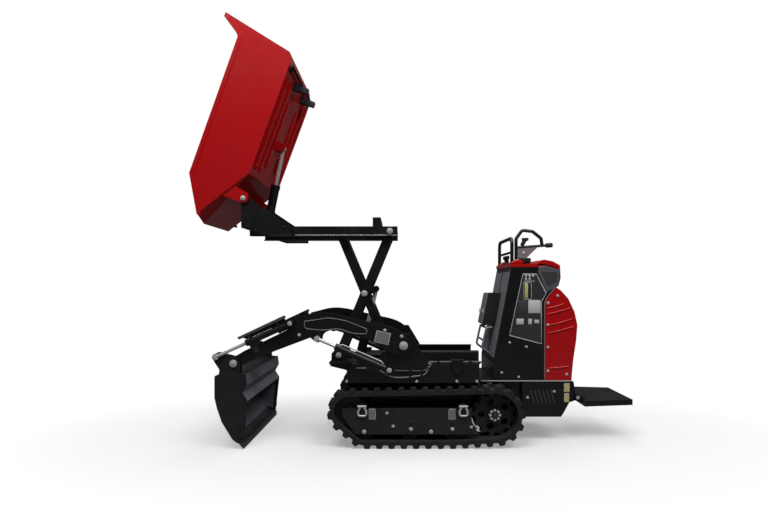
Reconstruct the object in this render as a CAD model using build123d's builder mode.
# Tracked site dumper with a scissor high-tip skip and a self-loading shovel.
# X points forward, Y to the machine's left, Z up, in millimetres.
# The ground is Z = 0, and the origin is under the middle of the whole outline.
from build123d import *
from math import atan2, cos, hypot, pi, radians, sin
import os

os.makedirs("parts", exist_ok=True)

# Tracks and running gear
track_outer_y = 390.0
track_width = 180.0
belt_thickness = 22.0
lug_height = 20.0
lug_pitch = 72.0
lug_base = 46.0
lug_tip = 26.0
sprocket_x = -560.0
sprocket_z = 188.0
sprocket_belt_radius = 132.0
idler_x = 295.0
idler_z = 214.0
idler_belt_radius = 90.0
belt_floor_z = belt_thickness + lug_height
roller_radius = 53.0
roller_gap = 0.4
roller_xs = (210.0, -57.0, -309.0)
roller_z = belt_floor_z + roller_radius + roller_gap
bogie_pin_x = -182.0
side_plate_outer_y = 362.0
side_plate_thickness = 8.0
inner_plate_y = 240.0
side_plate_bottom_z = 77.0
side_plate_top_z = 230.0
side_plate_front_x = 338.0
side_plate_rear_x = -480.0
sprocket_plate_gap = 8.0
wheel_half_width = 38.0
wheel_centre_y = 305.0
axle_radius = 12.0
pin_head_radius = 15.0
pin_head_depth = 8.0
drive_radius = 62.0

# Chassis
frame_half_width = 200.0
well_half_width = 70.0
frame_bottom_z = 150.0
belly_thickness = 12.0
frame_front_x = 432.0
frame_nose_x = 330.0
frame_rear_x = -640.0
deck_z = 486.0
deck_thickness = 12.0
rear_deck_z = 366.0
cross_beam_height = 70.0
cross_beam_length = 80.0
cross_beam_xs = (150.0, -300.0)
rail_web_y = 186.0
rail_height = 60.0
rail_depth = 36.0
deck_half_width = 256.0
rail_thickness = 6.0
rail_front_x = 115.0
rail_rear_x = -490.0
side_body_outer_y = 345.0
side_body_bottom_z = 376.0
side_body_top_z = 486.0
side_body_front_x = 330.0
side_body_rear_x = -470.0
fork_plate_y = 147.0
fork_plate_thickness = 12.0

# Scissor lift
lower_pin_x = 384.0
lower_pin_z = 516.0
arm_length = 839.0
raised_angle = 67.5
lowered_angle = 8.0
arm_height = 52.0
outer_arm_y = 141.0
inner_arm_y = 106.0
arm_width = 30.0
arm_tube_offset = 350.0
inner_tube_offset = 330.0
cross_tube_radius = 18.0
main_pin_radius = 12.5
pin_play = 0.4
guide_roller_radius = 23.5
guide_roller_inner_y = 152.0
guide_roller_width = 24.0
lift_eye_offset = 73.0
lift_base_x = 300.0
lift_base_z = 330.0

# Upper frame
channel_rear_x = 15.0
channel_front_x = 935.0
front_plate_y = 316.0
front_plate_thickness = 8.0
rest_beam_x = 145.0
rest_beam_width = 50.0
rest_beam_height = 56.0
tip_base_x = 871.0
tip_base_z = 1345.0
tip_shaft_radius = 13.0

# Skip
skip_hinge_x = 929.0
skip_hinge_z = 1470.0
tip_angle = 70.4
skip_half_width = 348.0
skip_wall = 5.0
skip_hem_depth = 26.0
skip_rim_z = 349.0
skip_rim_rear_x = -898.0
skip_rim_front_x = -34.0
skip_lip_x = -1003.0
skip_lip_z = 466.0
skip_heel_x = -908.0
skip_heel_z = 30.0
skip_floor_rear_x = -846.0
skip_floor_rear_z = 6.0
skip_floor_front_x = -150.0
skip_floor_front_z = 14.0
skip_shoulder_x = 180.0
skip_shoulder_z = 226.0
skip_spout_x = 223.0
skip_spout_z = 212.0
skip_spout_half_width = 237.0
skip_foot_x = -784.0
skip_foot_z = -88.0
skip_foot_y = 120.0
skip_rib_ys = (300.0, 216.0)
ear_y = 338.0
ear_thickness = 10.0
ear_radius = 26.0
hinge_pin_radius = 14.0
tip_eye_x = -413.0
tip_eye_z = -24.0

# Shovel
boom_outer_y = 372.0
boom_width = 18.0
shovel_cylinder_y = 397.0
shovel_boss_y = 387.0
boom_pivot_x = -21.0
boom_pivot_z = 602.0
boom_pivot_radius = 56.0
boom_pin_radius = 20.0
boom_tube_x = 860.0
boom_tube_z = 560.0
boom_tube_radius = 28.0
boom_lug_x = 481.0
boom_lug_z = 643.0
boom_base_x = 62.0
boom_base_z = 462.0
bucket_pivot_x = 971.0
bucket_pivot_z = 499.0
bucket_pivot_radius = 34.0
crowd_base_x = 638.0
crowd_base_z = 733.0
bucket_eye_x = 1074.0
bucket_eye_z = 537.0
bucket_half_width = 398.0
bucket_side_thickness = 8.0
bucket_wall = 8.0
bucket_ear_y = 350.0
bucket_ear_thickness = 12.0
bucket_outer_ear_y = 386.0
bucket_outer_ear_thickness = 10.0
cylinder_pin_radius = 9.0

# Console and rear
console_half_width = 240.0
console_floor_z = 374.0
console_wall = 5.0
console_front_x = -573.0
console_knee_z = 477.0
console_top_front_x = -683.0
console_top_z = 1066.0
console_top_rear_x = -844.0
hood_front_x = -884.0
hood_front_top_z = 863.0
hood_top_x = -952.0
hood_top_z = 944.0
hood_peak_x = -1030.0
hood_peak_z = 872.0
hood_rear_x = -1085.0
hood_rear_z = 711.0
hood_heel_x = -1049.0
hood_heel_z = 384.0
engine_length = 240.0
engine_width = 330.0
engine_height = 260.0
panel_thickness = 18.0
panel_front_x = -676.0
box_front_x = -530.0
box_half_width = 85.0
box_bottom_z = 703.0
box_top_z = 905.0
bar_radius = 11.0
guard_x = -693.0
guard_y = 200.0
guard_top_z = 1247.0

# Rear platform
platform_hinge_x = -1110.0
platform_hinge_z = 252.0
platform_length = 330.0
platform_front_half_width = 236.0
platform_rear_half_width = 192.0
platform_thickness = 34.0
platform_top_z = 245.0
platform_pin_radius = 9.0


def side_plane(y):
    """Upright plane at y that reads X forward and Z up and faces the machine's right."""
    return Plane(origin=(0, y, 0), x_dir=(1, 0, 0), z_dir=(0, -1, 0))


def tipped_plane(y):
    """Upright plane at y that turns with the skip, with its origin on the skip's hinge."""
    turn = radians(tip_angle)
    return Plane(
        origin=(skip_hinge_x, y, skip_hinge_z),
        x_dir=(cos(turn), 0, -sin(turn)),
        z_dir=(0, -1, 0),
    )


def slab(points, outer_y, thickness, plane=side_plane, mode=Mode.ADD):
    """Plate of the given outline whose outer face is at outer_y, cut towards the right."""
    with BuildSketch(plane(outer_y)) as outline:
        with BuildLine():
            Polyline(*points, close=True)
        make_face()
    extrude(outline.sketch, amount=thickness, mode=mode)


def twin_slabs(points, outer_y, thickness, plane=side_plane, mode=Mode.ADD):
    """The same plate on the left and, mirrored, on the right."""
    slab(points, outer_y, thickness, plane, mode)
    slab(points, thickness - outer_y, thickness, plane, mode)


def drum(x, z, outer_y, width, radius, mode=Mode.ADD):
    """Round bar or wheel across the machine, from outer_y towards the right."""
    with Locations(Plane(origin=(x, outer_y, z), x_dir=(1, 0, 0), z_dir=(0, -1, 0))):
        Cylinder(radius, width, align=(Align.CENTER, Align.CENTER, Align.MIN), mode=mode)


def twin_drums(x, z, outer_y, width, radius, mode=Mode.ADD):
    """The same drum on the left and, mirrored, on the right."""
    drum(x, z, outer_y, width, radius, mode)
    drum(x, z, width - outer_y, width, radius, mode)


def brick(x, y, z, mode=Mode.ADD):
    """Block between pairs of limits along X, Y and Z."""
    centre = ((x[0] + x[1]) / 2, (y[0] + y[1]) / 2, (z[0] + z[1]) / 2)
    with Locations(centre):
        Box(abs(x[1] - x[0]), abs(y[1] - y[0]), abs(z[1] - z[0]), mode=mode)


def twin_bricks(x, y, z, mode=Mode.ADD):
    """The same block on the left and, mirrored, on the right."""
    brick(x, y, z, mode)
    brick(x, (-y[0], -y[1]), z, mode)


def rod(start, end, radius, mode=Mode.ADD):
    """Round bar between two points."""
    axis = Vector(*end) - Vector(*start)
    with Locations(Plane(origin=start, z_dir=axis)):
        Cylinder(radius, axis.length, align=(Align.CENTER, Align.CENTER, Align.MIN), mode=mode)


def between(start, end, distance):
    """Point on the line from start to end, at a distance from start, in X and Z."""
    length = hypot(end[0] - start[0], end[1] - start[1])
    share = distance / length
    return (start[0] + (end[0] - start[0]) * share, start[1] + (end[1] - start[1]) * share)


def along_plane(base, eye, y):
    """Upright plane at y with its origin on the base pin and X along the cylinder."""
    way = between(base, eye, 1.0)
    way = (way[0] - base[0], 0, way[1] - base[1])
    return Plane(origin=(base[0], y, base[1]), x_dir=way, z_dir=(0, -1, 0))


def barrel(base, eye, y, length, radius, bore, eye_radius, eye_width, hole, neck):
    """Cylinder barrel from its base pin towards its rod's eye, bored for the rod."""
    start = between(base, eye, neck)
    end = between(base, eye, length)
    floor = between(base, eye, neck + radius)
    with BuildSketch(along_plane(base, eye, y + eye_width / 2)) as shank:
        with Locations((neck / 2, 0)):
            Rectangle(neck + 6, eye_radius * 1.6)
    extrude(shank.sketch, amount=eye_width)
    rod((start[0], y, start[1]), (end[0], y, end[1]), radius)
    gland = between(base, eye, length - radius * 0.8)
    rod((gland[0], y, gland[1]), (end[0], y, end[1]), radius * 1.1)
    drum(base[0], base[1], y + eye_width / 2, eye_width, eye_radius)
    rod((floor[0], y, floor[1]), (end[0], y, end[1]), bore, mode=Mode.SUBTRACT)
    drum(base[0], base[1], y + radius * 2, radius * 4, hole, mode=Mode.SUBTRACT)


def piston_rod(base, eye, y, inside, length, radius, eye_radius, eye_width, pin_reach):
    """Cylinder rod from inside its barrel to its eye, with the eye's own pin."""
    reach = hypot(eye[0] - base[0], eye[1] - base[1])
    start = between(base, eye, length - inside)
    end = between(base, eye, reach - eye_radius * 0.6)
    rod((start[0], y, start[1]), (end[0], y, end[1]), radius)
    drum(eye[0], eye[1], y + eye_width / 2, eye_width, eye_radius)
    drum(eye[0], eye[1], y + pin_reach, pin_reach * 2, cylinder_pin_radius)


# Belt loop as wheels in order, each with the radius that the belt's inside takes there
belt_wheels = (
    (roller_xs[-1], belt_floor_z + roller_radius, roller_radius),
    (roller_xs[0], belt_floor_z + roller_radius, roller_radius),
    (idler_x, idler_z, idler_belt_radius),
    (sprocket_x, sprocket_z, sprocket_belt_radius),
)


def belt_runs(extra):
    """Straight runs of the belt loop at a distance outside the belt's inner face."""
    runs = []
    for first, second in zip(belt_wheels, belt_wheels[1:] + belt_wheels[:1]):
        dx, dz = second[0] - first[0], second[1] - first[1]
        length = hypot(dx, dz)
        along = (first[2] - second[2]) / length
        across = (1 - along * along) ** 0.5
        normal = (dx / length * along + dz / length * across, dz / length * along - dx / length * across)
        start = (first[0] + normal[0] * (first[2] + extra), first[1] + normal[1] * (first[2] + extra))
        end = (second[0] + normal[0] * (second[2] + extra), second[1] + normal[1] * (second[2] + extra))
        runs.append((start, end, normal))
    return runs


def belt_outline(extra):
    """Closed wire of the belt loop at a distance outside its inner face."""
    runs = belt_runs(extra)
    for index, (start, end, normal) in enumerate(runs):
        wheel = belt_wheels[(index + 1) % len(belt_wheels)]
        following = runs[(index + 1) % len(runs)]
        Line(start, end)
        from_angle = atan2(normal[1], normal[0])
        to_angle = atan2(following[2][1], following[2][0])
        if to_angle < from_angle:
            to_angle += 2 * pi
        middle = (from_angle + to_angle) / 2
        radius = wheel[2] + extra
        crown = (wheel[0] + radius * cos(middle), wheel[1] + radius * sin(middle))
        ThreePointArc(end, crown, following[0])


def belt_stations():
    """Pieces of the belt's outer face in order, as lengths with a way to find each point."""
    pieces = []
    runs = belt_runs(belt_thickness)
    for index, (start, end, normal) in enumerate(runs):
        pieces.append(("run", hypot(end[0] - start[0], end[1] - start[1]), start, end, normal))
        wheel = belt_wheels[(index + 1) % len(belt_wheels)]
        following = runs[(index + 1) % len(runs)][2]
        from_angle = atan2(normal[1], normal[0])
        turn = (atan2(following[1], following[0]) - from_angle) % (2 * pi)
        radius = wheel[2] + belt_thickness
        pieces.append(("turn", radius * turn, wheel, from_angle, turn))
    return pieces


def belt_point(pieces, distance, height):
    """Point at a distance along the belt's outer face and a height above it."""
    distance %= sum(piece[1] for piece in pieces)
    for kind, length, first, second, third in pieces:
        if distance <= length:
            break
        distance -= length
    share = distance / length
    if kind == "run":
        x = first[0] + (second[0] - first[0]) * share + third[0] * height
        z = first[1] + (second[1] - first[1]) * share + third[1] * height
        return (x, z)
    angle = second + third * share
    radius = first[2] + belt_thickness + height
    return (first[0] + radius * cos(angle), first[1] + radius * sin(angle))


def lug_outline(shift):
    """Outline of the belt with its row of lugs, started a share of a pitch along."""
    pieces = belt_stations()
    loop = sum(piece[1] for piece in pieces)
    count = round(loop / lug_pitch)
    points = []
    for index in range(count):
        middle = loop * (index + shift) / count
        points.append(belt_point(pieces, middle - lug_base / 2, 0))
        points.append(belt_point(pieces, middle - lug_tip / 2, lug_height))
        points.append(belt_point(pieces, middle + lug_tip / 2, lug_height))
        points.append(belt_point(pieces, middle + lug_base / 2, 0))
    return points


def track(outer_y):
    """One rubber track: two staggered rows of lugs on one belt."""
    half = track_width / 2
    slab(lug_outline(0.0), outer_y, half)
    slab(lug_outline(0.5), outer_y - half, half)
    with BuildSketch(side_plane(outer_y)) as inside:
        with BuildLine():
            belt_outline(0)
        make_face()
    extrude(inside.sketch, amount=track_width, mode=Mode.SUBTRACT)


with BuildPart() as track_left:
    track(track_outer_y)
track_left.part.label = "track_left"

with BuildPart() as track_right:
    track(track_width - track_outer_y)
track_right.part.label = "track_right"

side_plate_outline = (
    (side_plate_rear_x, side_plate_top_z),
    (side_plate_front_x, side_plate_top_z),
    (side_plate_front_x, side_plate_top_z - 45),
    (side_plate_front_x - 74, side_plate_bottom_z),
    (side_plate_rear_x, side_plate_bottom_z),
)

# Two plates a side carry the rollers, joined by a top plate behind the idler
with BuildPart() as track_frames:
    for plate_y in (side_plate_outer_y, inner_plate_y + side_plate_thickness):
        twin_slabs(side_plate_outline, plate_y, side_plate_thickness)
    top_plate_front = idler_x - idler_belt_radius - 12
    twin_bricks(
        (side_plate_rear_x, top_plate_front),
        (inner_plate_y + side_plate_thickness, side_plate_outer_y - side_plate_thickness),
        (side_plate_top_z - side_plate_thickness, side_plate_top_z),
    )
    clearance = sprocket_belt_radius + sprocket_plate_gap
    twin_drums(sprocket_x, sprocket_z, side_plate_outer_y, side_plate_outer_y - inner_plate_y,
               clearance, mode=Mode.SUBTRACT)
    for roller_x in roller_xs:
        twin_drums(roller_x, roller_z, side_plate_outer_y + pin_head_depth, pin_head_depth, pin_head_radius)
    twin_drums(bogie_pin_x, roller_z, side_plate_outer_y + pin_head_depth, pin_head_depth, pin_head_radius)
track_frames.part.label = "track_frames"


def wheel(x, z, radius, hub_radius, recess):
    """Wheel between the side plates, dished on its outer face, on stubs that reach both plates."""
    outer = wheel_centre_y + wheel_half_width
    twin_drums(x, z, outer, wheel_half_width * 2, radius)
    for side in (1, -1):
        face = outer if side > 0 else -outer + recess
        drum(x, z, face, recess, radius - 14, mode=Mode.SUBTRACT)
        drum(x, z, face, recess, hub_radius)
    stub_outer = side_plate_outer_y - side_plate_thickness
    stub_inner = inner_plate_y + side_plate_thickness
    twin_drums(x, z, stub_outer, stub_outer - outer, axle_radius)
    inner = wheel_centre_y - wheel_half_width
    twin_drums(x, z, inner, inner - stub_inner, axle_radius)


with BuildPart() as track_rollers:
    for roller_x in roller_xs:
        wheel(roller_x, roller_z, roller_radius, 26, 10)
track_rollers.part.label = "track_rollers"

with BuildPart() as idlers:
    wheel(idler_x, idler_z, idler_belt_radius - roller_gap, 34, 14)
idlers.part.label = "idlers"

sprocket_teeth = 13
sprocket_root_radius = 112.0
tooth_width = 26.0
tooth_tip_radius = ((sprocket_belt_radius - roller_gap) ** 2 - (tooth_width / 2) ** 2) ** 0.5
sprocket_disc_width = 36.0

# Toothed drive wheels with five windows and a bolted hub
with BuildPart() as sprockets:
    disc_outer = wheel_centre_y + sprocket_disc_width / 2
    for disc_y in (disc_outer, sprocket_disc_width - disc_outer):
        with BuildSketch(side_plane(disc_y)) as disc:
            with Locations((sprocket_x, sprocket_z)):
                Circle(sprocket_root_radius)
                with PolarLocations(sprocket_root_radius, sprocket_teeth):
                    Rectangle((tooth_tip_radius - sprocket_root_radius) * 2, tooth_width)
                with PolarLocations(76, 5):
                    Circle(21, mode=Mode.SUBTRACT)
        extrude(disc.sketch, amount=sprocket_disc_width)
    hub_outer = wheel_centre_y + 46
    twin_drums(sprocket_x, sprocket_z, hub_outer, hub_outer - disc_outer, 40)
    drive_outer = wheel_centre_y - sprocket_disc_width / 2
    twin_drums(sprocket_x, sprocket_z, drive_outer, drive_outer - inner_plate_y - 14, 48)
    for bolt in range(8):
        angle = bolt * pi / 4
        bolt_x = sprocket_x + 28 * cos(angle)
        bolt_z = sprocket_z + 28 * sin(angle)
        twin_drums(bolt_x, bolt_z, hub_outer + 7, 7, 6)
sprockets.part.label = "sprockets"

with BuildPart() as final_drives:
    drive_face = inner_plate_y + 14
    twin_drums(sprocket_x, sprocket_z, drive_face, drive_face - frame_half_width, drive_radius)
final_drives.part.label = "final_drives"

# Chassis: two box beams either side of a well for the lift cylinder, and a belly plate
with BuildPart() as chassis_frame:
    beam_outline = (
        (frame_rear_x, frame_bottom_z),
        (frame_nose_x - 30, frame_bottom_z),
        (frame_nose_x, frame_bottom_z + 30),
        (frame_nose_x, deck_z - deck_thickness - 46),
        (frame_front_x, deck_z - deck_thickness - 20),
        (frame_front_x, deck_z - deck_thickness),
        (rail_rear_x, deck_z - deck_thickness),
        (rail_rear_x, rear_deck_z),
        (frame_rear_x, rear_deck_z),
    )
    twin_slabs(beam_outline, frame_half_width, frame_half_width - well_half_width)
    brick((frame_rear_x, frame_nose_x - 30), (-well_half_width, well_half_width),
          (frame_bottom_z, frame_bottom_z + belly_thickness))
    brick((frame_rear_x, rail_rear_x + 60), (-well_half_width, well_half_width),
          (frame_bottom_z + belly_thickness, rear_deck_z))
    for beam_x in cross_beam_xs:
        twin_bricks(
            (beam_x, beam_x + cross_beam_length), (frame_half_width, inner_plate_y),
            (side_plate_bottom_z + 60, side_plate_bottom_z + 60 + cross_beam_height),
        )
    drum(lift_base_x, lift_base_z, well_half_width, well_half_width * 2, main_pin_radius)
chassis_frame.part.label = "chassis_frame"

# Deck plates either side of the well, under the rails and the forks
with BuildPart() as deck_plates:
    twin_bricks((rail_rear_x, frame_front_x), (well_half_width, deck_half_width),
                (deck_z - deck_thickness, deck_z))
deck_plates.part.label = "deck_plates"


def channel(x, z, web_y):
    """Pair of C-shaped rails open towards the middle, between two X limits."""
    top = z + rail_height / 2
    bottom = z - rail_height / 2
    inner = web_y - rail_depth
    twin_bricks(x, (web_y - rail_thickness, web_y), (bottom, top))
    twin_bricks(x, (inner, web_y - rail_thickness), (top - rail_thickness, top))
    twin_bricks(x, (inner, web_y - rail_thickness), (bottom, bottom + rail_thickness))


with BuildPart() as lower_rails:
    channel((rail_rear_x, rail_front_x), lower_pin_z, rail_web_y)
lower_rails.part.label = "lower_rails"

# Forks on the deck that hold the outer scissor arms' lower pins
with BuildPart() as lift_forks:
    fork_outline = (
        (lower_pin_x - 42, deck_z),
        (lower_pin_x + 46, deck_z),
        (lower_pin_x + 46, lower_pin_z + 10),
        (lower_pin_x + 26, lower_pin_z + 32),
        (lower_pin_x - 26, lower_pin_z + 32),
        (lower_pin_x - 42, lower_pin_z + 10),
    )
    twin_slabs(fork_outline, fork_plate_y + fork_plate_thickness, fork_plate_thickness)
    pin_outer = fork_plate_y + fork_plate_thickness + pin_head_depth
    twin_drums(lower_pin_x, lower_pin_z, pin_outer, pin_head_depth, 20)
    pin_length = fork_plate_y - outer_arm_y + arm_width + 2
    twin_drums(lower_pin_x, lower_pin_z, fork_plate_y, pin_length, main_pin_radius)
lift_forks.part.label = "lift_forks"

# Side bodies over the tracks, with sloped noses
with BuildPart() as side_bodies:
    side_body_outline = (
        (side_body_rear_x, side_body_bottom_z),
        (side_body_front_x, side_body_bottom_z),
        (side_body_front_x + 4, side_body_bottom_z + 34),
        (side_body_front_x - 44, side_body_top_z),
        (side_body_rear_x, side_body_top_z),
    )
    twin_slabs(side_body_outline, side_body_outer_y, side_body_outer_y - deck_half_width)
side_bodies.part.label = "side_bodies"

tower_thickness = 20.0

# Towers that carry the shovel's arms
with BuildPart() as shovel_towers:
    tower_outer = side_body_outer_y
    for outer_y in (tower_outer, tower_thickness - tower_outer):
        with BuildSketch(side_plane(outer_y)) as tower:
            with BuildLine():
                Polyline(
                    (boom_pivot_x + 150, side_body_top_z),
                    (boom_pivot_x + 84, boom_pivot_z + 4),
                    (boom_pivot_x + 40, boom_pivot_z + 64),
                    (boom_pivot_x - 40, boom_pivot_z + 66),
                    (boom_pivot_x - 62, boom_pivot_z + 30),
                    (boom_pivot_x - 150, side_body_top_z),
                    close=True,
                )
            make_face()
            fillet([v for v in tower.vertices() if v.Z > side_body_top_z + 30], radius=22)
        extrude(tower.sketch, amount=tower_thickness)
    boss = boom_outer_y - boom_width - 2
    twin_drums(boom_pivot_x, boom_pivot_z, boss, boss - tower_outer, 40)
    twin_drums(boom_pivot_x, boom_pivot_z, boom_outer_y + 2, boom_width + 4, boom_pin_radius)
    twin_drums(boom_pivot_x, boom_pivot_z, boom_outer_y + 12, 10, 26)
    twin_drums(boom_base_x, boom_base_z, shovel_boss_y, shovel_boss_y - side_body_outer_y, 20)
    pin_end = shovel_cylinder_y + 9
    twin_drums(boom_base_x, boom_base_z, pin_end, pin_end - shovel_boss_y, cylinder_pin_radius)
    twin_drums(boom_base_x, boom_base_z, pin_end + 6, 6, 14)
shovel_towers.part.label = "shovel_towers"


def lift_point(angle):
    """Unit vectors along the outer arm and along the inner arm at a scissor angle."""
    turn = radians(angle)
    return (-cos(turn), sin(turn)), (cos(turn), sin(turn))


outer_way, inner_way = lift_point(raised_angle)
centre_x = lower_pin_x + outer_way[0] * arm_length / 2
centre_z = lower_pin_z + outer_way[1] * arm_length / 2
upper_pin_x = lower_pin_x + outer_way[0] * arm_length
upper_pin_z = lower_pin_z + outer_way[1] * arm_length


def arm_plane(way, y):
    """Upright plane at y, centred on the scissor's middle pin with X along an arm."""
    return Plane(origin=(centre_x, y, centre_z), x_dir=(way[0], 0, way[1]), z_dir=(0, -1, 0))


def scissor_arm(way, outer_y):
    """One box-section arm with rounded ends."""
    for y in (outer_y, arm_width - outer_y):
        with BuildSketch(arm_plane(way, y)) as outline:
            SlotCenterToCenter(arm_length, arm_height)
        extrude(outline.sketch, amount=arm_width)


def on_arm(way, along, across=0.0):
    """X and Z of a point given along and across an arm, from the scissor's middle pin."""
    return (centre_x + way[0] * along - way[1] * across, centre_z + way[1] * along + way[0] * across)


with BuildPart() as outer_arms:
    scissor_arm(outer_way, outer_arm_y)
    for along in (-arm_tube_offset, arm_tube_offset):
        tube_x, tube_z = on_arm(outer_way, along)
        inner_face = outer_arm_y - arm_width
        drum(tube_x, tube_z, inner_face, inner_face * 2, cross_tube_radius)
    for along in (-arm_length / 2, 0, arm_length / 2):
        hole_x, hole_z = on_arm(outer_way, along)
        twin_drums(hole_x, hole_z, outer_arm_y + 1, arm_width + 2, main_pin_radius + pin_play,
                   mode=Mode.SUBTRACT)
outer_arms.part.label = "scissor_outer_arms"

lift_eye_x, lift_eye_z = on_arm(inner_way, 0, lift_eye_offset)
lug_inner_y = 18.0
lug_thickness = 12.0

with BuildPart() as inner_arms:
    scissor_arm(inner_way, inner_arm_y)
    inner_face = inner_arm_y - arm_width
    for along in (-inner_tube_offset, inner_tube_offset):
        tube_x, tube_z = on_arm(inner_way, along)
        drum(tube_x, tube_z, inner_face, inner_face * 2, cross_tube_radius)
    twin_drums(centre_x, centre_z, inner_face, inner_face - lug_inner_y, 22)
    twin_drums(centre_x, centre_z, outer_arm_y + 4, outer_arm_y + 4 - inner_arm_y, main_pin_radius)
    twin_drums(centre_x, centre_z, outer_arm_y + 4 + pin_head_depth, pin_head_depth, 20)
    lug_outer = lug_inner_y + lug_thickness
    for y in (lug_outer, -lug_inner_y):
        with BuildSketch(arm_plane(inner_way, y)) as lug:
            with Locations((0, lift_eye_offset / 2)):
                SlotCenterToCenter(lift_eye_offset, 40, rotation=90)
        extrude(lug.sketch, amount=lug_thickness)
inner_arms.part.label = "scissor_inner_arms"

with BuildPart() as guide_rollers:
    for along in (-arm_length / 2, arm_length / 2):
        roller_centre = on_arm(inner_way, along)
        outer = guide_roller_inner_y + guide_roller_width
        twin_drums(*roller_centre, outer, guide_roller_width, guide_roller_radius)
        twin_drums(*roller_centre, guide_roller_inner_y, guide_roller_inner_y - inner_arm_y, main_pin_radius)
guide_rollers.part.label = "scissor_rollers"

# Upper frame: two rails, a rest beam and the shaft of the tip cylinder
with BuildPart() as upper_frame:
    channel((channel_rear_x, channel_front_x), upper_pin_z, rail_web_y)
    rest_bottom = upper_pin_z + rail_height / 2
    brick((rest_beam_x - rest_beam_width / 2, rest_beam_x + rest_beam_width / 2),
          (-rail_web_y, rail_web_y), (rest_bottom, rest_bottom + rest_beam_height))
    pin_length = rail_web_y - rail_thickness - outer_arm_y + arm_width + 2
    twin_drums(upper_pin_x, upper_pin_z, rail_web_y - rail_thickness, pin_length, main_pin_radius)
    twin_drums(upper_pin_x, upper_pin_z, rail_web_y + pin_head_depth, pin_head_depth, 20)
upper_frame.part.label = "upper_frame"

# Front brackets of the upper frame, out to the skip's hinge pins
with BuildPart() as hinge_brackets:
    bracket_outline = (
        (skip_hinge_x - 6, skip_hinge_z + 20),
        (skip_hinge_x + 20, skip_hinge_z + 6),
        (skip_hinge_x + 17, skip_hinge_z - 173),
        (skip_hinge_x - 112, upper_pin_z - rail_height / 2 - 6),
        (skip_hinge_x - 270, upper_pin_z - rail_height / 2 - 6),
        (skip_hinge_x - 270, upper_pin_z + rail_height / 2 - 8),
    )
    twin_slabs(bracket_outline, front_plate_y + front_plate_thickness, front_plate_thickness)
    web_x = (skip_hinge_x - 262, skip_hinge_x - 130)
    web_z = (upper_pin_z - rail_height / 2, upper_pin_z + rail_height / 2 - 12)
    twin_bricks(web_x, (rail_web_y, front_plate_y), web_z)
    drum(tip_base_x, tip_base_z, front_plate_y, front_plate_y * 2, tip_shaft_radius)
    shaft_foot = upper_pin_z + rail_height / 2
    twin_bricks((tip_base_x - 26, tip_base_x + 26), (rail_web_y - 34, rail_web_y - 14),
                (shaft_foot, tip_base_z + 20))
    pin_outer = ear_y + pin_head_depth
    twin_drums(skip_hinge_x, skip_hinge_z, pin_outer - 2, pin_outer - 2 - front_plate_y,
               hinge_pin_radius)
    twin_drums(skip_hinge_x, skip_hinge_z, front_plate_y + front_plate_thickness, front_plate_thickness, 24)
hinge_brackets.part.label = "hinge_brackets"


def skip_point(x, y, z):
    """Place in the machine of a point given from the skip's hinge with the skip level."""
    turn = radians(tip_angle)
    return Vector(
        skip_hinge_x + x * cos(turn) + z * sin(turn),
        y,
        skip_hinge_z - x * sin(turn) + z * cos(turn),
    )


def cheek_plane(side, inward):
    """Plane of the sloped cheek beside the skip's ramp, moved inward by a wall."""
    first = skip_point(skip_floor_front_x, side * skip_half_width, skip_floor_front_z)
    second = skip_point(skip_shoulder_x, side * skip_half_width, skip_shoulder_z)
    third = skip_point(skip_spout_x, side * skip_spout_half_width, skip_spout_z)
    normal = (second - first).cross(third - first).normalized()
    if normal.Y * side < 0:
        normal = normal * -1
    return Plane(origin=first - normal * inward, z_dir=normal)


def cheek_wedge(side, inward):
    """Cut away all that is outside one cheek's plane."""
    with Locations(cheek_plane(side, inward)):
        Box(1600, 1600, 400, align=(Align.CENTER, Align.CENTER, Align.MIN), mode=Mode.SUBTRACT)


skip_outline = (
    (skip_lip_x, skip_lip_z),
    (skip_lip_x + 26, skip_lip_z),
    (skip_rim_rear_x, skip_rim_z),
    (skip_rim_front_x, skip_rim_z),
    (skip_shoulder_x, skip_shoulder_z),
    (skip_spout_x, skip_spout_z),
    (skip_floor_front_x, skip_floor_front_z),
    (skip_floor_rear_x, skip_floor_rear_z),
    (skip_heel_x, skip_heel_z),
)

ramp_slope = (skip_spout_z - skip_floor_front_z) / (skip_spout_x - skip_floor_front_x)
ramp_wall = skip_wall * (1 + ramp_slope * ramp_slope) ** 0.5
skip_hollow = (
    (skip_lip_x + 2, skip_lip_z + 20),
    (skip_lip_x + 90, skip_lip_z + 20),
    (skip_spout_x + 60, skip_rim_z + 20),
    (skip_spout_x + 60, skip_spout_z + ramp_wall + 60 * ramp_slope),
    (skip_floor_front_x, skip_floor_front_z + ramp_wall),
    (skip_floor_rear_x + 1, skip_floor_rear_z + skip_wall),
    (skip_heel_x + skip_wall, skip_heel_z + 4),
)

skip_inner_half = skip_half_width - 3 - skip_wall

# The space inside the skip
with BuildPart() as skip_room:
    slab(skip_hollow, skip_inner_half, skip_inner_half * 2, tipped_plane)
    cheek_wedge(1, 3 + skip_wall)
    cheek_wedge(-1, 3 + skip_wall)

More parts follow.
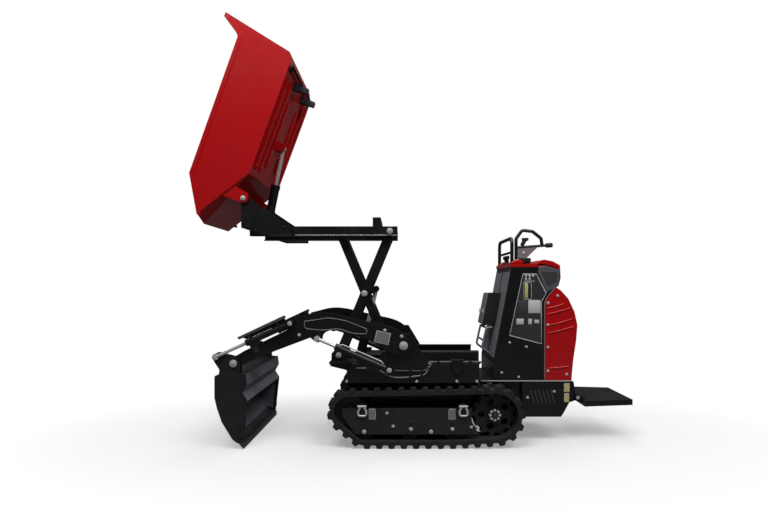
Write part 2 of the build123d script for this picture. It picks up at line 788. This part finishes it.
# The skip: an open tub with a leaning rear wall, a ramp to its spout and rolled rims
with BuildPart() as skip:
    slab(skip_outline, skip_half_width - 3, skip_half_width * 2 - 6, tipped_plane)
    cheek_wedge(1, 3)
    cheek_wedge(-1, 3)
    ear = (
        (ear_radius, -12),
        (ear_radius, 126),
        (-ear_radius - 34, 96),
        (-ear_radius - 12, -12),
        (-12, -ear_radius),
        (12, -ear_radius),
    )
    twin_slabs(ear, ear_y, ear_thickness, tipped_plane)
    add(skip_room.part, mode=Mode.SUBTRACT)
    hem_lines = (
        ((skip_lip_x + 26, skip_lip_z), (skip_rim_rear_x, skip_rim_z)),
        ((skip_rim_rear_x, skip_rim_z), (skip_rim_front_x, skip_rim_z)),
        ((skip_rim_front_x, skip_rim_z), (skip_shoulder_x, skip_shoulder_z)),
    )
    for start, end in hem_lines:
        hem = (start, end, (end[0], end[1] - skip_hem_depth), (start[0], start[1] - skip_hem_depth))
        twin_slabs(hem, skip_half_width, 4, tipped_plane)
    for y in (ear_y + 1, ear_thickness + 1 - ear_y):
        with BuildSketch(tipped_plane(y)) as hinge_hole:
            Circle(hinge_pin_radius + pin_play)
        extrude(hinge_hole.sketch, amount=ear_thickness + 2, mode=Mode.SUBTRACT)
    floor_slope = (skip_floor_front_z - skip_floor_rear_z) / (skip_floor_front_x - skip_floor_rear_x)
    lug_top = skip_floor_rear_z + floor_slope * (tip_eye_x - skip_floor_rear_x) + 2
    for y in (lug_inner_y + lug_thickness, -lug_inner_y):
        lug_outline_points = (
            (tip_eye_x - 34, lug_top),
            (tip_eye_x + 34, lug_top),
            (tip_eye_x + 16, tip_eye_z - 16),
            (tip_eye_x - 16, tip_eye_z - 16),
        )
        slab(lug_outline_points, y, lug_thickness, tipped_plane)
    for rib_y in skip_rib_ys:
        rib = (
            (skip_floor_rear_x + 60, skip_floor_rear_z + 1),
            (skip_floor_front_x - 40, skip_floor_front_z),
            (skip_floor_front_x - 60, skip_floor_front_z - 14),
            (skip_floor_rear_x + 80, skip_floor_rear_z - 13),
        )
        twin_slabs(rib, rib_y, 24, tipped_plane)
skip.part.label = "skip"

# Feet under the skip's floor that rest on the beam of the upper frame
with BuildPart() as skip_feet:
    foot_top = skip_floor_rear_z + floor_slope * (skip_foot_x - skip_floor_rear_x)
    foot_outline = (
        (skip_foot_x - 21, foot_top),
        (skip_foot_x + 21, foot_top),
        (skip_foot_x + 16, skip_foot_z),
        (skip_foot_x - 16, skip_foot_z),
    )
    twin_slabs(foot_outline, skip_foot_y + 18, 36, tipped_plane)
    add(skip.part, mode=Mode.SUBTRACT)
skip_feet.part.label = "skip_feet"

latch_radius = 10.0
latch_half_length = skip_half_width - 3

# Dark bar across the skip's lower rear edge, on three short brackets
with BuildPart() as latch_bar:
    latch_x = skip_floor_rear_x + 8
    latch_z = skip_floor_rear_z - 16
    start = skip_point(latch_x, -latch_half_length, latch_z)
    end = skip_point(latch_x, latch_half_length, latch_z)
    rod(tuple(start), tuple(end), latch_radius)
    for bracket_y in (skip_half_width - 48, 12, 72 - skip_half_width):
        foot = (
            (latch_x - 8, latch_z),
            (latch_x - 14, skip_floor_rear_z + 4),
            (latch_x + 30, skip_floor_rear_z + 1),
            (latch_x + 8, latch_z),
        )
        slab(foot, bracket_y, 24, tipped_plane)
    add(skip.part, mode=Mode.SUBTRACT)
latch_bar.part.label = "skip_latch_bar"

# Lift cylinder
lift_base = (lift_base_x, lift_base_z)
lift_eye = (lift_eye_x, lift_eye_z)
lift_barrel_length = 380.0

with BuildPart() as lift_barrel:
    barrel(lift_base, lift_eye, 0, lift_barrel_length, 30, 14 + pin_play, 28, 36,
           main_pin_radius + pin_play, 20)
lift_barrel.part.label = "lift_cylinder_barrel"

with BuildPart() as lift_rod:
    piston_rod(lift_base, lift_eye, 0, 60, lift_barrel_length, 14, 20, 28, 16)
lift_rod.part.label = "lift_cylinder_rod"

# Tip cylinder
tip_base = (tip_base_x, tip_base_z)
tip_eye_place = skip_point(tip_eye_x, 0, tip_eye_z)
tip_eye = (tip_eye_place.X, tip_eye_place.Z)
tip_barrel_length = 270.0

with BuildPart() as tip_barrel:
    barrel(tip_base, tip_eye, 0, tip_barrel_length, 28, 13 + pin_play, 28, 36,
           tip_shaft_radius + pin_play, 20)
tip_barrel.part.label = "tip_cylinder_barrel"

with BuildPart() as tip_rod:
    piston_rod(tip_base, tip_eye, 0, 60, tip_barrel_length, 13, 18, 28, 16)
tip_rod.part.label = "tip_cylinder_rod"

# Shovel arms: a pair of goosenecks

def boom_arm(outer_y):
    """One gooseneck arm, from its pivot over the track's nose to the bucket."""
    with BuildSketch(side_plane(outer_y)) as outline:
        with BuildLine():
            top = Spline(
                (boom_pivot_x - boom_pivot_radius, boom_pivot_z),
                (boom_pivot_x + 20, boom_pivot_z + 84),
                (boom_pivot_x + 160, boom_pivot_z + 128),
                (boom_pivot_x + 330, boom_pivot_z + 166),
                (boom_pivot_x + 430, boom_pivot_z + 187),
                (boom_pivot_x + 560, boom_pivot_z + 182),
            )
            front = Polyline(
                top @ 1,
                (crowd_base_x + 6, crowd_base_z + 24),
                (crowd_base_x + 26, crowd_base_z),
                (crowd_base_x + 20, crowd_base_z - 38),
                (bucket_pivot_x - 60, bucket_pivot_z + 72),
                (bucket_pivot_x + 4, bucket_pivot_z + bucket_pivot_radius),
                (bucket_pivot_x + bucket_pivot_radius, bucket_pivot_z),
                (bucket_pivot_x, bucket_pivot_z - bucket_pivot_radius),
                (bucket_pivot_x - 160, bucket_pivot_z + 40),
                (boom_lug_x + 45, boom_lug_z + 4),
                (boom_lug_x + 24, boom_lug_z - 14),
                (boom_lug_x, boom_lug_z - 26),
                (boom_lug_x - 22, boom_lug_z - 14),
                (boom_lug_x - 30, boom_lug_z + 22),
            )
            under = Spline(
                front @ 1,
                (boom_lug_x - 85, boom_lug_z + 48),
                (boom_lug_x - 150, boom_lug_z + 32),
                (boom_lug_x - 290, boom_lug_z - 8),
                (boom_pivot_x + 110, boom_pivot_z - 26),
                (boom_pivot_x + 20, boom_pivot_z - boom_pivot_radius + 2),
            )
            Spline(
                under @ 1,
                (boom_pivot_x - 34, boom_pivot_z - 43),
                (boom_pivot_x - boom_pivot_radius, boom_pivot_z),
            )
        make_face()
    extrude(outline.sketch, amount=boom_width)


with BuildPart() as boom_arms:
    boom_arm(boom_outer_y)
    boom_arm(boom_width - boom_outer_y)
    inner_y = boom_outer_y - boom_width
    drum(boom_tube_x, boom_tube_z, inner_y, inner_y * 2, boom_tube_radius)
    boss_length = shovel_boss_y - boom_outer_y
    twin_drums(boom_lug_x, boom_lug_z, shovel_boss_y, boss_length, 18)
    twin_drums(crowd_base_x, crowd_base_z, shovel_boss_y, boss_length, 18)
    pin_end = shovel_cylinder_y + 9
    twin_drums(crowd_base_x, crowd_base_z, pin_end, pin_end - shovel_boss_y, cylinder_pin_radius)
    twin_drums(crowd_base_x, crowd_base_z, pin_end + 6, 6, 14)
    twin_drums(boom_pivot_x, boom_pivot_z, boom_outer_y + 1, boom_width + 2, boom_pin_radius + pin_play,
               mode=Mode.SUBTRACT)
    pivot_hole = 12 + pin_play
    twin_drums(bucket_pivot_x, bucket_pivot_z, boom_outer_y + 1, boom_width + 2, pivot_hole,
               mode=Mode.SUBTRACT)
boom_arms.part.label = "boom_arms"

bucket_profile = (
    (912.0, 36.0),
    (886.0, 275.0),
    (915.0, 330.0),
    (889.0, 377.0),
    (897.0, 436.0),
    (1040.0, 446.0),
    (1079.0, 425.0),
    (1079.0, 300.0),
    (1064.0, 237.0),
    (1036.0, 157.0),
    (975.0, 58.0),
    (947.0, 36.0),
)

# The shovel's bucket: its mouth faces the machine and its back is curved
with BuildPart() as bucket:
    slab(bucket_profile, bucket_half_width, bucket_half_width * 2)
    inner_half = bucket_half_width - bucket_side_thickness
    with BuildSketch(side_plane(inner_half)) as hollow:
        with BuildLine():
            Polyline(*bucket_profile, close=True)
        make_face()
        offset(amount=-bucket_wall, kind=Kind.INTERSECTION, mode=Mode.REPLACE)
        with BuildLine():
            Polyline((920, 44), (960, 60), (960, 285), (893, 279), (860, 270), (860, 44), close=True)
        make_face()
    extrude(hollow.sketch, amount=inner_half * 2, mode=Mode.SUBTRACT)
    ear_outline = (
        (bucket_pivot_x - 34, 420.0),
        (bucket_pivot_x - 36, bucket_pivot_z + 6),
        (bucket_pivot_x - 14, bucket_pivot_z + 34),
        (bucket_eye_x - 6, bucket_eye_z + 24),
        (bucket_eye_x + 20, bucket_eye_z + 12),
        (bucket_eye_x + 22, bucket_eye_z - 10),
        (bucket_eye_x - 20, 460.0),
        (1060.0, 420.0),
    )
    twin_slabs(ear_outline, bucket_outer_ear_y, bucket_outer_ear_thickness)
    twin_slabs(ear_outline, bucket_ear_y, bucket_ear_thickness)
    twin_drums(bucket_pivot_x, bucket_pivot_z, bucket_outer_ear_y + 6, 6, 16)
    twin_drums(bucket_pivot_x, bucket_pivot_z, bucket_outer_ear_y, bucket_outer_ear_y - bucket_ear_y, 12)
bucket.part.label = "bucket"

with BuildPart() as cutting_edge:
    slab(((905, 6), (913, 6), (940, 36), (905, 36)), bucket_half_width, bucket_half_width * 2)
cutting_edge.part.label = "cutting_edge"

# Shovel cylinders
boom_base = (boom_base_x, boom_base_z)
boom_eye = (boom_lug_x, boom_lug_z)
boom_barrel_length = 344.0
crowd_base = (crowd_base_x, crowd_base_z)
crowd_eye = (bucket_eye_x, bucket_eye_z)
crowd_barrel_length = 281.0
shovel_cylinder_radius = 18.0
shovel_rod_radius = 9.5

with BuildPart() as boom_barrels:
    for y in (shovel_cylinder_y, -shovel_cylinder_y):
        barrel(boom_base, boom_eye, y, boom_barrel_length, shovel_cylinder_radius,
               shovel_rod_radius + pin_play, 19, 14, cylinder_pin_radius + pin_play, 28)
boom_barrels.part.label = "boom_cylinder_barrels"

with BuildPart() as boom_rods:
    for y in (shovel_cylinder_y, -shovel_cylinder_y):
        piston_rod(boom_base, boom_eye, y, 60, boom_barrel_length, shovel_rod_radius, 18, 12, 9.7)
boom_rods.part.label = "boom_cylinder_rods"

with BuildPart() as crowd_barrels:
    for y in (shovel_cylinder_y, -shovel_cylinder_y):
        barrel(crowd_base, crowd_eye, y, crowd_barrel_length, shovel_cylinder_radius,
               shovel_rod_radius + pin_play, 19, 14, cylinder_pin_radius + pin_play, 28)
crowd_barrels.part.label = "bucket_cylinder_barrels"

with BuildPart() as crowd_rods:
    for y in (shovel_cylinder_y, -shovel_cylinder_y):
        piston_rod(crowd_base, crowd_eye, y, 60, crowd_barrel_length, shovel_rod_radius, 18, 12, 10.7)
crowd_rods.part.label = "bucket_cylinder_rods"

# Guard plates above the bucket cylinders, on two feet each
with BuildPart() as crowd_guards:
    for y in (shovel_cylinder_y + 13, 13 - shovel_cylinder_y):
        with BuildSketch(along_plane(crowd_base, crowd_eye, y)) as guard:
            with BuildLine():
                Polyline((18, 46), (306, 40), (306, 47), (18, 54), close=True)
            make_face()
            with Locations((66, 31), (244, 29)):
                Rectangle(18, 28)
        extrude(guard.sketch, amount=26)
    add(crowd_barrels.part, mode=Mode.SUBTRACT)
crowd_guards.part.label = "bucket_cylinder_guards"

# Console
with BuildPart() as console_floor:
    brick((hood_heel_x, rail_rear_x - 2), (-console_half_width, console_half_width),
          (rear_deck_z, console_floor_z))
console_floor.part.label = "console_floor"

console_outline = (
    (hood_front_x, console_floor_z),
    (console_front_x, console_floor_z),
    (console_front_x, console_knee_z),
    (console_top_front_x, console_top_z),
    (console_top_rear_x, console_top_z),
    (hood_top_x - 10, hood_top_z + 8),
    (hood_top_x, hood_top_z),
    (hood_front_x, hood_front_top_z),
)
with BuildPart() as console_body:
    slab(console_outline, console_half_width, console_half_width * 2)
    room = (
        (hood_front_x - 20, console_floor_z - 1),
        (console_front_x - console_wall, console_floor_z - 1),
        (console_front_x - console_wall, console_knee_z),
        (console_top_front_x - console_wall, console_top_z - console_wall),
        (console_top_rear_x + 4, console_top_z - console_wall),
        (hood_front_x - 20, hood_front_top_z + 90),
        (hood_front_x - 20, hood_front_top_z - 10),
    )
    inner_half = console_half_width - console_wall
    slab(room, inner_half, inner_half * 2, mode=Mode.SUBTRACT)
console_body.part.label = "console_body"

hood_outline = (
    (hood_front_x, console_floor_z),
    (hood_front_x, hood_front_top_z),
    (hood_top_x, hood_top_z),
    (hood_top_x - 33, hood_top_z - 22),
    (hood_peak_x, hood_peak_z),
    (hood_rear_x + 17, hood_rear_z + 79),
    (hood_rear_x, hood_rear_z),
    (hood_rear_x + 7, hood_rear_z - 91),
    (hood_heel_x - 11, hood_heel_z + 116),
    (hood_heel_x, hood_heel_z),
    (hood_heel_x, console_floor_z),
)
with BuildPart() as engine_hood:
    slab(hood_outline, console_half_width, console_half_width * 2)
    room = (
        (hood_front_x + 1, console_floor_z - 1),
        (hood_front_x + 1, hood_front_top_z - 2 * console_wall),
        (hood_top_x + 2, hood_top_z - 2 * console_wall),
        (hood_top_x - 31, hood_top_z - 22 - console_wall),
        (hood_peak_x + 5, hood_peak_z - 4),
        (hood_rear_x + 17 + console_wall, hood_rear_z + 79),
        (hood_rear_x + console_wall, hood_rear_z),
        (hood_rear_x + 7 + console_wall, hood_rear_z - 91),
        (hood_heel_x - 11 + console_wall, hood_heel_z + 116),
        (hood_heel_x + console_wall, console_floor_z - 1),
    )
    slab(room, inner_half, inner_half * 2, mode=Mode.SUBTRACT)
engine_hood.part.label = "engine_hood"

with BuildPart() as engine:
    engine_rear = hood_front_x - 140
    brick((engine_rear, engine_rear + engine_length), (-engine_width / 2, engine_width / 2),
          (console_floor_z, console_floor_z + engine_height))
engine.part.label = "engine_block"

with BuildPart() as console_panel:
    panel_outline = (
        (panel_front_x, console_top_z),
        (panel_front_x, console_top_z + panel_thickness + 4),
        (console_top_rear_x, console_top_z + panel_thickness),
        (console_top_rear_x, console_top_z),
    )
    slab(panel_outline, console_half_width - 6, console_half_width * 2 - 12)
console_panel.part.label = "console_panel"

# Shoulder cover behind the panel, hanging out over the rear slope
with BuildPart() as console_shoulder:
    shoulder_outline = (
        (console_top_rear_x, console_top_z + panel_thickness - 4),
        (hood_top_x - 29, console_top_z + 7),
        (hood_top_x - 33, console_top_z - 43),
        (hood_top_x - 10, hood_top_z + 8),
        (console_top_rear_x, console_top_z),
    )
    slab(shoulder_outline, console_half_width - 20, console_half_width * 2 - 40)
console_shoulder.part.label = "console_shoulder"

with BuildPart() as tool_box:
    face_slope = (console_top_front_x - console_front_x) / (console_top_z - console_knee_z)
    box_rear_bottom = console_front_x + face_slope * (box_bottom_z - console_knee_z)
    box_rear_top = console_front_x + face_slope * (box_top_z - console_knee_z)
    slab(
        (
            (box_rear_bottom, box_bottom_z),
            (box_front_x, box_bottom_z),
            (box_front_x - 38, box_top_z),
            (box_rear_top, box_top_z),
        ),
        box_half_width, box_half_width * 2,
    )
tool_box.part.label = "tool_box"

with BuildPart() as rear_base:
    tail_outline = (
        (frame_rear_x, frame_bottom_z),
        (frame_rear_x, rear_deck_z),
        (hood_heel_x, rear_deck_z),
        (hood_heel_x, frame_bottom_z + 112),
        (hood_heel_x + 46, frame_bottom_z + 28),
        (hood_heel_x + 64, frame_bottom_z),
    )
    slab(tail_outline, frame_half_width, frame_half_width * 2)
    wide_front_x = sprocket_x - sprocket_belt_radius - belt_thickness - lug_height - 14
    wide_outline = (
        (wide_front_x, frame_bottom_z),
        (wide_front_x, rear_deck_z),
        (hood_heel_x, rear_deck_z),
        (hood_heel_x, frame_bottom_z + 112),
        (hood_heel_x + 46, frame_bottom_z + 28),
        (hood_heel_x + 64, frame_bottom_z),
    )
    twin_slabs(wide_outline, console_half_width, console_half_width - frame_half_width)
rear_base.part.label = "rear_base"


def bent_bar(points, radius, bend):
    """Round bar along a route in an upright plane, with each corner bent to a radius."""
    with BuildLine() as route:
        FilletPolyline(*points, radius=bend)
    with BuildSketch(Plane(origin=route.wire() @ 0, z_dir=route.wire() % 0)) as section:
        Circle(radius)
    sweep(section.sketch, path=route.wire())


panel_deck_z = console_top_z + panel_thickness
hoop_front_x = -763.0
hoop_rear_x = -934.0
hoop_top_z = 1312.0
lever_z = 1206.0

# One hoop on the middle of the panel, with the drive lever and its support plate
with BuildPart() as handlebars:
    bent_bar(
        (
            (hoop_front_x, 0, panel_deck_z - 4),
            (hoop_front_x, 0, hoop_top_z - 52),
            (hoop_front_x - 40, 0, hoop_top_z + 4),
            (hoop_front_x - 108, 0, hoop_top_z - 4),
            (hoop_rear_x + 6, 0, hoop_top_z - 50),
            (hoop_rear_x, 0, lever_z + 8),
        ),
        bar_radius, 24,
    )
    rod((hoop_front_x, 0, lever_z - 4), (hoop_rear_x - 66, 0, lever_z + 13), 9)
    rod((hoop_rear_x - 26, 0, lever_z + 10), (hoop_rear_x - 66, 0, lever_z + 13), 14)
    support = (
        (hoop_front_x - 2, lever_z),
        (hoop_rear_x + 24, lever_z + 4),
        (hoop_front_x - 44, lever_z - 96),
        (hoop_front_x - 44, panel_deck_z - 4),
        (hoop_front_x - 2, panel_deck_z - 4),
    )
    slab(support, 5, 10)
    add(console_panel.part, mode=Mode.SUBTRACT)
handlebars.part.label = "handlebars"

# Guard across the front of the panel
with BuildPart() as front_guard:
    bent_bar(
        (
            (guard_x, guard_y, panel_deck_z - 4),
            (guard_x, guard_y, guard_top_z),
            (guard_x, -guard_y, guard_top_z),
            (guard_x, -guard_y, panel_deck_z - 4),
        ),
        bar_radius, 40,
    )
    rod((guard_x, -guard_y, guard_top_z - 88), (guard_x, guard_y, guard_top_z - 88), 8)
    add(console_panel.part, mode=Mode.SUBTRACT)
front_guard.part.label = "front_guard"

# Rear platform
platform_front_x = platform_hinge_x - 4
platform_rear_x = platform_front_x - platform_length

with BuildPart() as platform_bracket:
    for y in (150, -120):
        slab(
            (
                (hood_heel_x, platform_hinge_z - 40),
                (hood_heel_x, platform_hinge_z + 96),
                (platform_hinge_x + 18, platform_hinge_z + 96),
                (platform_hinge_x + 8, platform_hinge_z + 20),
                (platform_hinge_x - 14, platform_hinge_z + 14),
                (platform_hinge_x - 14, platform_hinge_z - 14),
            ),
            y, 30,
        )
    drum(platform_hinge_x, platform_hinge_z, 176, 352, platform_pin_radius)
platform_bracket.part.label = "platform_bracket"

with BuildPart() as platform:
    with BuildSketch(Plane.XY.offset(platform_top_z - platform_thickness)) as tread:
        with BuildLine():
            Polyline(
                (platform_hinge_x - 22, platform_front_half_width),
                (platform_rear_x, platform_rear_half_width),
                (platform_rear_x, -platform_rear_half_width),
                (platform_hinge_x - 22, -platform_front_half_width),
                close=True,
            )
        make_face()
    extrude(tread.sketch, amount=platform_thickness)
    for y in (175, -155):
        slab(
            (
                (platform_hinge_x - 50, platform_top_z),
                (platform_hinge_x - 50, platform_top_z - platform_thickness),
                (platform_hinge_x + 12, platform_hinge_z - 14),
                (platform_hinge_x + 12, platform_hinge_z + 12),
                (platform_hinge_x - 12, platform_hinge_z + 14),
            ),
            y, 20,
        )
    drum(platform_hinge_x, platform_hinge_z, 180, 360, platform_pin_radius + pin_play, mode=Mode.SUBTRACT)
platform.part.label = "platform"

pieces = [
    track_left, track_right, track_frames, track_rollers, idlers, sprockets, final_drives,
    chassis_frame, deck_plates, lower_rails, lift_forks, side_bodies, shovel_towers,
    outer_arms, inner_arms, guide_rollers, upper_frame, hinge_brackets, skip, skip_feet, latch_bar,
    lift_barrel, lift_rod, tip_barrel, tip_rod,
    boom_arms, bucket, cutting_edge, boom_barrels, boom_rods, crowd_barrels, crowd_rods, crowd_guards,
    console_floor, console_body, engine_hood, engine, console_panel, console_shoulder, tool_box, rear_base,
    handlebars, front_guard, platform_bracket, platform,
]

# The origin moves under the middle of the whole outline
front_end = max(piece.part.bounding_box().max.X for piece in pieces)
rear_end = min(piece.part.bounding_box().min.X for piece in pieces)
middle_x = (front_end + rear_end) / 2

for piece in pieces:
    name = piece.part.label
    placed = piece.part.moved(Location((-middle_x, 0, 0)))
    placed.label = name
    export_step(placed, f"parts/{name}.step")
